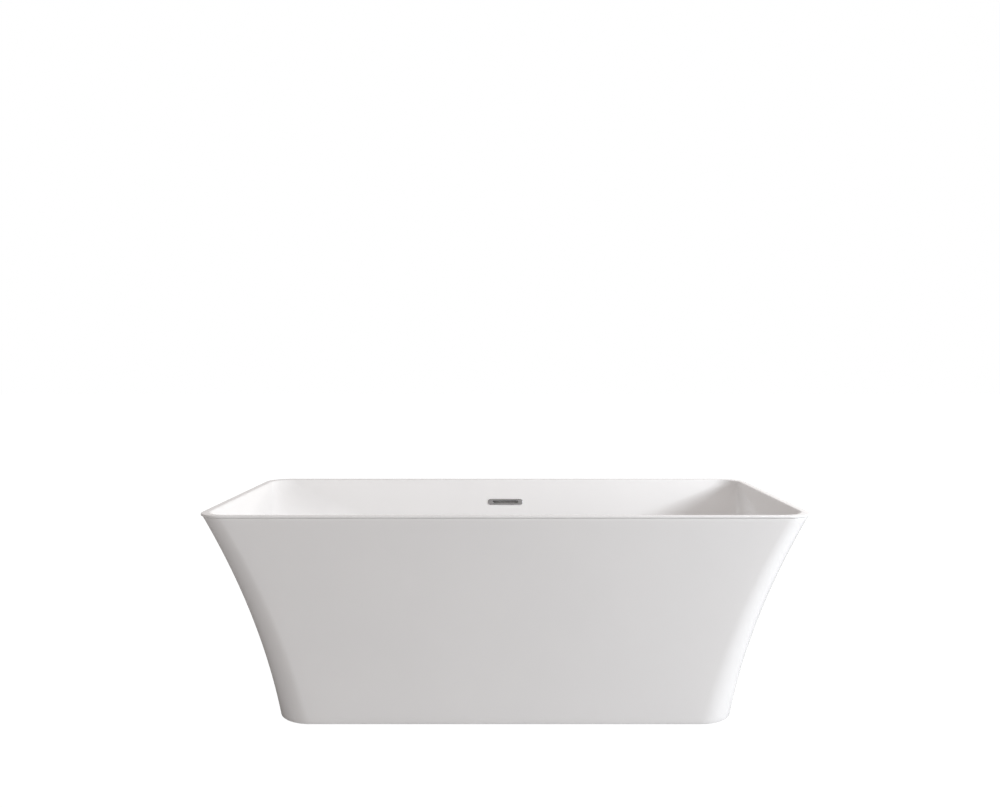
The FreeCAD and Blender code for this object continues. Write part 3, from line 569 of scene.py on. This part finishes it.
def thread(radius, pitch, low, high, segments=24, per_turn=8):
    """A rod with a right-hand screw thread and chamfered ends."""
    depth = 0.61 * pitch
    rows = round((high - low) / pitch * per_turn)
    rings = [[Vector((0.001, 0, low))] * segments]
    for row in range(rows + 1):
        level = low + (high - low) * row / rows
        limit = radius - max(0, depth - min(level - low, high - level))
        ring = []
        for k in range(segments):
            phase = ((level - low) / pitch - k / segments) % 1
            groove = radius - depth * min(1, max(0, 1.25 - 2.5 * abs(phase - 0.5)))
            reach = min(groove, limit)
            angle = 2 * math.pi * k / segments
            ring.append(Vector((reach * math.cos(angle), reach * math.sin(angle), level)))
        rings.append(ring)
    rings.append([Vector((0.001, 0, high))] * segments)
    return [p for ring in rings for p in ring], ring_faces(rings, False)


def block(low, high, soft):
    """A box between two corners with its upright edges rounded and its ends chamfered."""
    low, high = Vector(low), Vector(high)
    middle, half = (low + high) / 2, (high - low) / 2
    rings = []
    for inset, level in ((soft, low.z), (0, low.z + soft), (0, high.z - soft), (soft, high.z)):
        ring = rounded_ring(half.x - inset, half.y - inset, soft, level, arc=2, along=1, across=1)
        rings.append([point + Vector((middle.x, middle.y, 0)) for point in ring])
    count = len(rings[0])
    faces = ring_faces(rings, False)
    faces += [tuple(range(count))[::-1], tuple(range(3 * count, 4 * count))]
    return [p for ring in rings for p in ring], faces


def moved(part, matrix):
    """The same solid, put elsewhere."""
    points, faces = part
    return [matrix @ point for point in points], faces


def joined(name, *parts, sharp=35):
    """One piece from several solids, scaled from millimetres."""
    points, faces = [], []
    for some_points, some_faces in parts:
        start = len(points)
        points += [point * MM for point in some_points]
        faces += [tuple(start + index for index in face) for face in some_faces]
    return new_piece(name, points, faces, sharp)


def shifted(x, y, z=0):
    return Matrix.Translation((x, y, z))


def node_middle(name):
    """The middle of a CAD piece in plan, in millimetres."""
    low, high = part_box(name)
    return (low.x + high.x) / 2 / MM, (low.y + high.y) / 2 / MM


def levels(name):
    """The lowest and highest level of a CAD piece, in millimetres."""
    low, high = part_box(name)
    return low.z / MM, high.z / MM


# ---------------------------------------------------------------- waste and plug


def waste_flange():
    """The chrome flange, its threaded neck and tail, and the cross that holds the plug's cartridge."""
    foot, top = levels("waste_flange")
    under = top - 3
    neck_foot = 58
    ridges = []
    level = neck_foot + 1.5
    while level < 80:
        ridges += [(23.9, level), (22.9, level + 0.6), (22.9, level + 0.9), (23.9, level + 1.5)]
        level += 2
    outline = softened([
        (17.5, foot), (20, foot), (20, neck_foot), (22.9, neck_foot), (23.9, neck_foot + 1), *ridges,
        (23.9, under), (35, under), (35, top - 1.2), (32.6, top), (25, top), (20, top - 7),
        (20, neck_foot + 5), (17.5, neck_foot + 3),
    ], 0.5)
    hub_low, hub_high = 136, 148
    hub = turned(softened([(8.05, hub_low), (13, hub_low), (13, hub_high), (8.05, hub_high)], 0.7))
    spokes = []
    for quarter in range(4):
        turn = Matrix.Rotation(quarter * math.pi / 2, 4, "Z")
        spokes.append(moved(block((12.5, -2.5, hub_low + 2), (20.5, 2.5, hub_high - 2), 0.6), turn))
    piece = joined("waste_flange_turned", turned(outline, 96), hub, *spokes)
    finish_piece(piece, CHROME, "chrome", "tub", "waste_flange")


def plug():
    """The plug: domed chrome cap, rubber seal, brass stem, and the cartridge and spring under it."""
    boss, top = levels("plug_cap")
    under = boss + 7
    crown = [(30 * math.sin(k / 12 * math.pi / 2), top - 2.6 * (k / 12) ** 2.2) for k in range(11)]
    rim = [(29.6, under + 1.9), (29.95, under + 1.5), (30, under + 1.1), (29.9, under + 0.4), (29.4, under)]
    outline = crown + rim + [(12, under), (12, boss + 0.5), (11.5, boss), (4.5, boss), (4.05, boss + 0.5)]
    outline += [(4.05, top - 7), (0, top - 7)]
    cap = joined("plug_cap_dome", turned(outline, 96))
    finish_piece(cap, CHROME, "chrome", "plug", "plug_cap")

    low, high = levels("plug_seal")
    seal = softened([(12.05, low), (19, low), (21.3, low + 0.9), (21.3, low + 1.6), (18, high - 0.7),
                     (16, high), (12.05, high)], 0.4)
    finish_piece(joined("plug_seal_ring", turned(seal)), RUBBER, "rubber", "plug", "plug_seal")

    low, high = levels("plug_stem")
    stem = softened([(0, low), (5, low), (5, low + 16), (4.4, low + 17), (4.4, low + 19), (5, low + 20),
                     (5, high - 10), (4, high - 10), (4, high), (0, high)], 0.4)
    finish_piece(joined("plug_stem_turned", turned(stem, 48)), BRASS, "brass", "plug", "plug_stem")

    low, high = levels("cartridge")
    shoulder = high - 3
    cartridge = softened([
        (0, low), (8, low), (8, low + 8), (7.5, low + 8.5), (7.5, low + 10.5), (8, low + 11), (8, shoulder),
        (10.5, shoulder), (10.5, high), (5.1, high), (5.1, low + 3), (0, low + 3),
    ], 0.35)
    finish_piece(joined("cartridge_turned", turned(cartridge, 48)), BRASS, "brass", "tub", "cartridge")

    low, high = levels("plug_spring")
    wire, coil = 0.5, 4.0
    turns, per_turn, around = 6, 32, 8
    rings = []
    for step in range(turns * per_turn + 1):
        angle = 2 * math.pi * step / per_turn
        out = Vector((math.cos(angle), math.sin(angle), 0))
        level = low + wire + (high - low - 2 * wire) * step / (turns * per_turn)
        rings.append([
            out * (coil + wire * math.cos(a)) + Vector((0, 0, level + wire * math.sin(a)))
            for a in (2 * math.pi * k / around for k in range(around))
        ])
    faces = ring_faces(rings, False)
    count = len(rings) * around
    faces += [tuple(range(around))[::-1], tuple(range(count - around, count))]
    spring = joined("plug_spring_coil", ([p for ring in rings for p in ring], faces))
    finish_piece(spring, SPRING_STEEL, "spring_steel", "tub", "plug_spring")
    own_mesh(spring)


def waste_locknut():
    """The brass nut that draws the flange down on its gaskets."""
    low, high = levels("waste_locknut")
    piece = joined("waste_locknut_hexagon", nut(60, low, high, 24.05, 144))
    finish_piece(piece, BRASS, "brass", "tub", "waste_locknut")


# ---------------------------------------------------------------- levelling feet


def feet():
    """Four threaded studs in their swivel pads."""
    pin_high = 12.5
    for number in FEET:
        place = shifted(*node_middle(f"foot_pad_{number}"))
        low, high = levels(f"foot_stud_{number}")
        pin = turned(softened([(0, low), (5, low), (5, low + pin_high), (0, low + pin_high)], 0.5), 32)
        rod = thread(STUD_RADIUS, STUD_PITCH, low + pin_high, high)
        drive = nut(17, low + 16.5, low + 24.5, 5)
        parts = [moved(part, place) for part in (pin, rod, drive)]
        stud = joined(f"foot_stud_{number}_threaded", *parts, sharp=30)
        finish_piece(stud, ZINC, "zinc", f"stud_{number}", f"foot_stud_{number}")

        base = [(0, 0), (6, 0), (7, 0.8), (9, 0.8), (10, 0), (14, 0), (15, 0.8), (17, 0.8), (18, 0), (24, 0)]
        side = [(25, 1), (25, 4), (14, 9), (10, 15), (10, 18.4), (9.4, 20), (5.1, 20), (5.1, 7), (0, 7)]
        rib = block((9, -1, 3.5), (20, 1, 6.2), 0.3)
        ribs = [moved(rib, Matrix.Rotation(k * math.pi / 4, 4, "Z")) for k in range(8)]
        pad = joined(f"foot_pad_{number}_moulded", *[
            moved(part, place) for part in (turned(softened(base + side, 0.6), 64), *ribs)
        ])
        finish_piece(pad, BLACK_PLASTIC, "black_plastic", f"foot_{number}", f"foot_pad_{number}")


def nuts():
    """The welded nuts under the rails, and the lock nuts below them."""
    places = [shifted(*node_middle(f"foot_pad_{number}")) for number in FEET]
    for node_name in ("weld_nuts", "foot_locknuts"):
        low, high = levels(node_name)
        one = nut(FOOT_NUT_ACROSS, low, high, STUD_RADIUS + 0.1)
        piece = joined(node_name + "_hexagons", *[moved(one, place) for place in places])
        finish_piece(piece, ZINC, "zinc", "tub", node_name)


# ---------------------------------------------------------------- screws


def cross_headed(seat, reach):
    """A pan head screw driven upwards, whose cross recess screws() cuts afterwards."""
    outline = softened([
        (0, seat - 3), (2.4, seat - 2.85), (4.1, seat - 2.2), (5, seat - 1), (5, seat - 0.01), (2.5, seat),
        (2.5, seat + reach - 3), (0.2, seat + reach), (0, seat + reach),
    ], 0.5)
    return turned(outline, 40)


def screws(node_name, places, reaches):
    """Screws at their places, each with a cross cut into its head."""
    piece = joined(node_name + "_driven", *[
        moved(cross_headed(place[2], reach), shifted(place[0], place[1]))
        for place, reach in zip(places, reaches)
    ])
    arms = []
    for x, y, seat in places:
        arms.append(block((x - 2.9, y - 0.55, seat - 3.4), (x + 2.9, y + 0.55, seat - 1.3), 0.15))
        arms.append(block((x - 0.549, y - 2.901, seat - 3.41), (x + 0.549, y + 2.901, seat - 1.31), 0.15))
    cutter = joined(node_name + "_cutter", *arms)
    recess = piece.modifiers.new("recess", "BOOLEAN")
    recess.object = cutter
    recess.solver = "EXACT"
    recess.use_self = True
    applied(piece)
    bpy.data.objects.remove(cutter)
    finish_piece(piece, ZINC, "zinc", "tub", node_name)


def all_screws():
    cross_tubes = [node_middle(name)[0] for name in CROSS_TUBES]
    frame_low = levels("side_rail_front")[0]
    places = [(x, side * SCREW_Y, frame_low) for x in cross_tubes for side in (-1, 1)]
    screws("frame_screws", places, [FRAME_SCREW_REACH] * len(places))
    places, reaches = [], []
    for number in FEET:
        x, block_y = node_middle(f"skirt_block_{number}")
        low = levels(f"skirt_bracket_{number}")[0]
        rail_y = math.copysign(RAIL_Y, block_y)
        places += [(x, rail_y, low), (x, block_y, low)]
        reaches += [RAIL_SCREW_REACH, BLOCK_SCREW_REACH]
    screws("bracket_screws", places, reaches)


# ---------------------------------------------------------------- frame welds


def bead(start, end, radius=1.7, ripple=1.5):
    """A weld bead: a thin rod along a seam with the ripples of its runs."""
    start, end = Vector(start), Vector(end)
    along = (end - start).normalized()
    side = along.orthogonal().normalized()
    up = along.cross(side)
    rows = max(8, round((end - start).length / ripple * 4))
    rings = []
    for row in range(rows + 1):
        share = row / rows
        swell = 0.85 + 0.15 * abs(math.sin(math.pi * share * (end - start).length / ripple))
        fade = min(1, 0.35 + 6 * min(share, 1 - share))
        reach = radius * swell * fade
        middle = start.lerp(end, share)
        rings.append([
            middle + reach * (side * math.cos(a) + up * math.sin(a))
            for a in (2 * math.pi * k / 10 for k in range(10))
        ])
    faces = ring_faces(rings, False)
    count = len(rings) * 10
    faces += [tuple(range(10))[::-1], tuple(range(count - 10, count))]
    return [p for ring in rings for p in ring], faces


def frame_welds():
    """Beads along the joints of the cross tubes with the rails, and round the welded nuts."""
    low, high = levels("side_rail_front")
    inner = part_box("side_rail_back")[0].y / MM
    beads = []
    for x in (node_middle(name)[0] for name in CROSS_TUBES):
        for side in (-1, 1):
            y = side * inner
            beads.append(bead((x - 14, y, low + 0.3), (x + 14, y, low + 0.3)))
            for edge in (-15, 15):
                beads.append(bead((x + edge, y, low + 1), (x + edge, y, high - 1)))
    for number in FEET:
        x, y = node_middle(f"foot_pad_{number}")
        for sixth in range(6):
            first, second = (math.pi / 3 * (sixth + k) + math.pi / 6 for k in (0.12, 0.88))
            reach = FOOT_NUT_ACROSS / math.sqrt(3) * 0.96
            ends = [(x + reach * math.cos(a), y + reach * math.sin(a), low - 0.4) for a in (first, second)]
            beads.append(bead(*ends, radius=1.3))
    finish_piece(joined("frame_weld_beads", *beads, sharp=60), FRAME_STEEL, "frame_steel", "tub")


# ---------------------------------------------------------------- overflow hose


def hose_route():
    """Points along the hose, read from a smooth curve through its route."""
    wall = overflow_place()
    first = wall @ Vector((0, *HOSE_FROM_TRIM))
    heading = (wall.to_3x3() @ Vector((0, -1, 0))).normalized()
    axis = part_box("overflow_hose")[0].z + HOSE_AXIS
    corner = Vector((0, HOSE_CORNER, axis))
    last = Vector((0, HOSE_END, axis))
    knee = first + heading * 36 * MM
    drop = (corner - knee).normalized()
    inward = Vector((0, -1, 0))
    points = [
        first, first + heading * 20 * MM, knee + drop * 12 * MM, knee.lerp(corner, 0.5),
        corner - drop * 62 * MM, corner - drop * 24 * MM, corner + inward * 24 * MM,
        corner + inward * 62 * MM, corner.lerp(last, 0.6), last,
    ]
    curve = bpy.data.curves.new("hose_line", "CURVE")
    curve.dimensions = "3D"
    line = curve.splines.new("NURBS")
    line.points.add(len(points) - 1)
    for spot, point in zip(line.points, points):
        spot.co = (*point, 1)
    line.order_u = 3
    line.use_endpoint_u = True
    line.resolution_u = 24
    holder = bpy.data.objects.new("hose_line", curve)
    bpy.context.scene.collection.objects.link(holder)
    bpy.context.view_layer.update()
    view = bpy.context.evaluated_depsgraph_get()
    mesh = bpy.data.meshes.new_from_object(holder.evaluated_get(view))
    route = [vertex.co.copy() for vertex in mesh.vertices]
    bpy.data.objects.remove(holder)
    return route


def overflow_hose():
    """The corrugated hose, plain at its two ends where the clips hold it."""
    route = hose_route()
    spans = [0.0]
    for before, after in zip(route, route[1:]):
        spans.append(spans[-1] + (after - before).length)
    length = spans[-1]
    plain, pitch, around = 22 * MM, 4 * MM, 36
    stations = [0, plain]
    while stations[-1] < length - plain - pitch / 8:
        stations.append(stations[-1] + pitch / 8)
    stations.append(length)

    def at(distance):
        k = next((k for k in range(1, len(spans)) if spans[k] >= distance), len(spans) - 1)
        share = (distance - spans[k - 1]) / (spans[k] - spans[k - 1])
        return route[k - 1].lerp(route[k], share), (route[k] - route[k - 1]).normalized()

    def ring(station, reach):
        middle, heading = at(station)
        side = Vector((1, 0, 0))
        up = heading.cross(side)
        angles = [2 * math.pi * k / around for k in range(around)]
        return [middle + reach * (side * math.cos(a) + up * math.sin(a)) for a in angles]

    rings = []
    for station in stations:
        wave = 0.5 + 0.5 * math.cos(2 * math.pi * (station - plain) / pitch)
        ribbed = plain <= station <= length - plain
        crest = wave ** 0.6 if ribbed else 1
        rings.append(ring(station, HOSE_GROOVE + (HOSE_RADIUS - HOSE_GROOVE) * crest))
    rings += [ring(station, HOSE_BORE) for station in [length, *stations[-2:0:-8], 0]]
    piece = lofted("overflow_hose_corrugated", rings, sharp=50)
    finish_piece(piece, HOSE_PLASTIC, "hose_plastic", "tub", "overflow_hose")


def hose_clip(node_name, heading):
    """A worm-drive clip: its band, the screw's housing, and the screw with its hexagon head."""
    low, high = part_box(node_name)
    middle = (low + high) / 2 / MM
    turn = heading.to_track_quat("Z", "X").to_matrix().to_4x4()
    place = Matrix.Translation(middle) @ turn
    band = turned(softened([(12.55, -4.5), (13.4, -4.5), (13.4, 4.5), (12.55, 4.5)], 0.2))
    housing = block((12.9, -4.5, -4.2), (17.6, 4.5, 4.2), 1.0)
    across = shifted(15.4, 0) @ Matrix.Rotation(math.pi / 2, 4, "X")
    shank = moved(thread(2.3, 1.4, -5.5, 5.5), across)
    head = moved(nut(7, 5.2, 8.6, 0.9), across)
    parts = [moved(part, place) for part in (band, housing, shank, head)]
    finish_piece(joined(node_name + "_band", *parts), SPRING_STEEL, "spring_steel", "tub", node_name)


def overflow_pipework():
    """The hose, with a clip at each end along its heading there."""
    overflow_hose()
    down = (overflow_place().to_3x3() @ Vector((0, -1, 0))).normalized()
    hose_clip("hose_clip_top", down)
    hose_clip("hose_clip_bottom", Vector((0, 1, 0)))


# ---------------------------------------------------------------- pieces kept from the CAD


def dress(node_name, material, bevel):
    """Gives a CAD piece its material, and softens its edges."""
    piece = nodes[node_name]
    piece.data.materials.clear()
    piece.data.materials.append(material)
    edges = piece.modifiers.new("edges", "BEVEL")
    edges.width = bevel
    edges.segments = 2
    edges.limit_method = "ANGLE"
    edges.angle_limit = math.radians(40)


def dress_all():
    """The CAD pieces whose shape is right already."""
    for name in ("side_rail_front", "side_rail_back", *CROSS_TUBES):
        dress(name, FRAME_STEEL, 1.2 * MM)
    dress("floor_board", BOARD, 1.2 * MM)
    for number in FEET:
        dress(f"skirt_block_{number}", TIMBER, 1.2 * MM)
        dress(f"skirt_bracket_{number}", ZINC, 0.5 * MM)
    for name in ("flange_gasket", "lower_gasket", "overflow_gasket"):
        dress(name, RUBBER, 0.2 * MM)
    dress("tee_washer", GREY_PLASTIC, 0.3 * MM)
    dress("waste_tee", GREY_PLASTIC, 0.8 * MM)
    dress("overflow_box", WHITE_PLASTIC, 0.6 * MM)


# ---------------------------------------------------------------- studio


def studio_floor():
    """A plain floor that looks white, and sends back the light of a pale grey one."""
    size = 30.0
    points = [(-size, -size, 0), (size, -size, 0), (size, size, 0), (-size, size, 0)]
    floor = new_piece("studio_floor", points, [(0, 1, 2, 3)])
    tone, second = (PAPER_TONE,) * 3, (PAPER_TONE - 0.01,) * 3
    paper = made("studio_paper", tone, second, 0.8, 0.05, 90, 0.0001, patch=0.5)
    white = paper.add("ShaderNodeEmission")
    white.inputs["Strength"].default_value = FLOOR_GLOW
    seen = paper.add("ShaderNodeLightPath").outputs["Is Camera Ray"]
    share = paper.add("ShaderNodeMath", operation="MULTIPLY")
    paper.tree.links.new(seen, share.inputs[0])
    share.inputs[1].default_value = FLOOR_SHARE
    mixed = paper.add("ShaderNodeMixShader")
    for socket, output in enumerate((share.outputs[0], paper.shader.outputs[0], white.outputs[0])):
        paper.tree.links.new(output, mixed.inputs[socket])
    out = paper.tree.nodes["Material Output"]
    paper.tree.links.new(mixed.outputs[0], out.inputs["Surface"])
    floor.data.materials.append(paper.material)


def soft_box(name, place, target, width, height, power, colour):
    """A soft lamp that points at the bath."""
    lamp = bpy.data.lights.new(name, "AREA")
    lamp.shape = "RECTANGLE"
    lamp.size = width
    lamp.size_y = height
    lamp.energy = power
    lamp.color = colour
    holder = bpy.data.objects.new(name, lamp)
    holder.location = place
    holder.rotation_euler = (Vector(target) - Vector(place)).to_track_quat("-Z", "Y").to_euler()
    bpy.context.scene.collection.objects.link(holder)


def sky():
    """Soft light from all sides, strongest from the right, with a little warm light everywhere."""
    world = bpy.data.worlds.new("studio")
    world.use_nodes = True
    tree = world.node_tree
    tree.nodes.clear()
    add, link = tree.nodes.new, tree.links.new
    parts = add("ShaderNodeSeparateXYZ")
    link(add("ShaderNodeTexCoord").outputs["Generated"], parts.inputs[0])
    total = None
    for axis, way, strength in SKY_SIDES:
        steps = [("MULTIPLY", way), ("MAXIMUM", 0.0), ("MULTIPLY", strength)]
        amount = parts.outputs[axis]
        for operation, value in steps:
            step = add("ShaderNodeMath")
            step.operation = operation
            link(amount, step.inputs[0])
            step.inputs[1].default_value = value
            amount = step.outputs[0]
        if total is not None:
            both = add("ShaderNodeMath")
            link(total, both.inputs[0])
            link(amount, both.inputs[1])
            amount = both.outputs[0]
        total = amount
    lit, base, seen = (add("ShaderNodeBackground") for _ in range(3))
    link(total, lit.inputs["Strength"])
    base.inputs["Color"].default_value = (*SKY_BASE, 1)
    seen.inputs["Color"].default_value = (1, 1, 1, 1)
    both = add("ShaderNodeAddShader")
    link(lit.outputs[0], both.inputs[0])
    link(base.outputs[0], both.inputs[1])
    mixed = add("ShaderNodeMixShader")
    link(add("ShaderNodeLightPath").outputs["Is Camera Ray"], mixed.inputs[0])
    link(both.outputs[0], mixed.inputs[1])
    link(seen.outputs[0], mixed.inputs[2])
    link(mixed.outputs[0], add("ShaderNodeOutputWorld").inputs["Surface"])
    bpy.context.scene.world = world


def camera():
    """A level camera in front of the bath, a little above its rim."""
    eye = bpy.data.cameras.new("camera")
    eye.sensor_width = 36
    eye.lens = LENS
    eye.shift_x = SHIFT_X
    eye.shift_y = SHIFT_Y
    holder = bpy.data.objects.new("camera", eye)
    holder.location = (0, -RIM_WIDTH - CAMERA_AWAY, RIM_LEVEL + CAMERA_UP)
    holder.rotation_euler = (math.pi / 2, 0, 0)
    bpy.context.scene.collection.objects.link(holder)
    bpy.context.scene.camera = holder


skirt()
basin()
overflow_trim()
overflow_pipework()
waste_flange()
waste_locknut()
plug()
feet()
nuts()
all_screws()
frame_welds()
dress_all()
studio_floor()
sky()
for lamp in SOFT_BOXES:
    soft_box(*lamp)
camera()
bpy.context.scene.view_settings.view_transform = "Standard"
